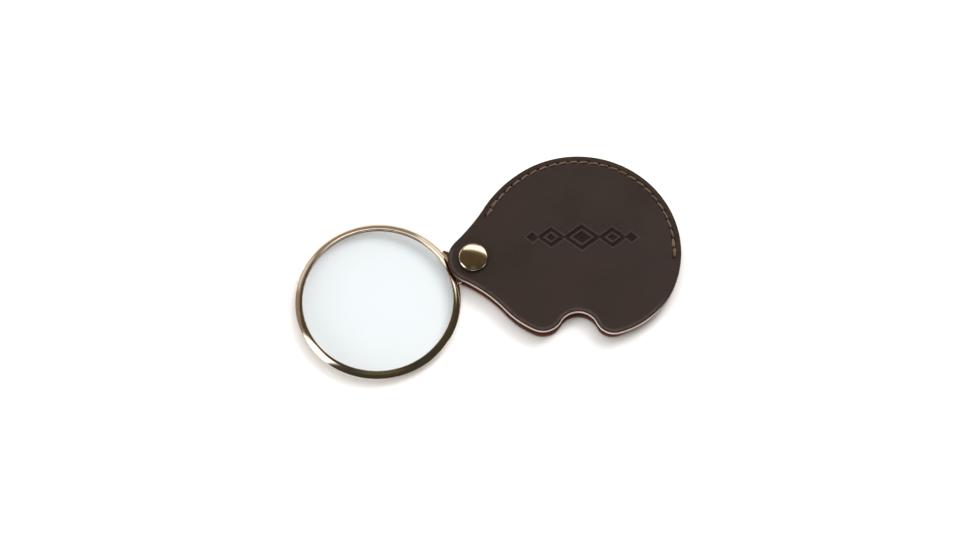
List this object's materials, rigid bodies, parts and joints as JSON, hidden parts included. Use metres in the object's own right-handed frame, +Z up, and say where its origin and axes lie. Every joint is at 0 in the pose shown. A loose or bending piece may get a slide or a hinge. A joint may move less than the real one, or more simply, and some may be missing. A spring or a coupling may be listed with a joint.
{
  "type": "folding pocket magnifying glass",
  "caption": "Folding pocket magnifier: round lens in a metal rim that swings on a rivet out of a sewn round leather case with a finger notch.",
  "frame": {"origin": "under the middle of the whole object's bounding box, on the surface that it lies on", "axes": "+X along the length from the lens to the case, +Y away from the case's open mouth, +Z up out of the front panel; the swing axis is parallel to Z"},
  "size_m": [0.1284, 0.0788, 0.0083],
  "materials": {
    "leather": "smooth dark brown pull-up leather with a soft sheen",
    "raw_leather": "raw cut edge, pinkish tan",
    "thread": "twisted waxed thread, tan brown",
    "rivet_brass": "polished antique brass",
    "gold_plate": "polished pale gold plating",
    "lens_glass": "clear polished optical glass"
  },
  "bodies": {
    "case": {"front_panel": "leather", "back_panel": "leather", "welt": "raw_leather", "front_thread": "thread", "back_thread": "thread", "rivet_front_cap": "rivet_brass", "rivet_socket": "rivet_brass", "rivet_post": "rivet_brass", "rivet_back_cap": "rivet_brass", "front_washer": "rivet_brass", "back_washer": "rivet_brass"},
    "lens": {"lens_rim": "gold_plate", "pivot_lug": "gold_plate", "lens": "lens_glass"}
  },
  "joints": [
    {"name": "lens_swing", "type": "hinge", "parent": "case", "child": "lens", "pos_m": [-0.00511, 0.00211, 0.0032], "axis": [0, 0, 1], "range_deg": [-70, 160]}
  ]
}
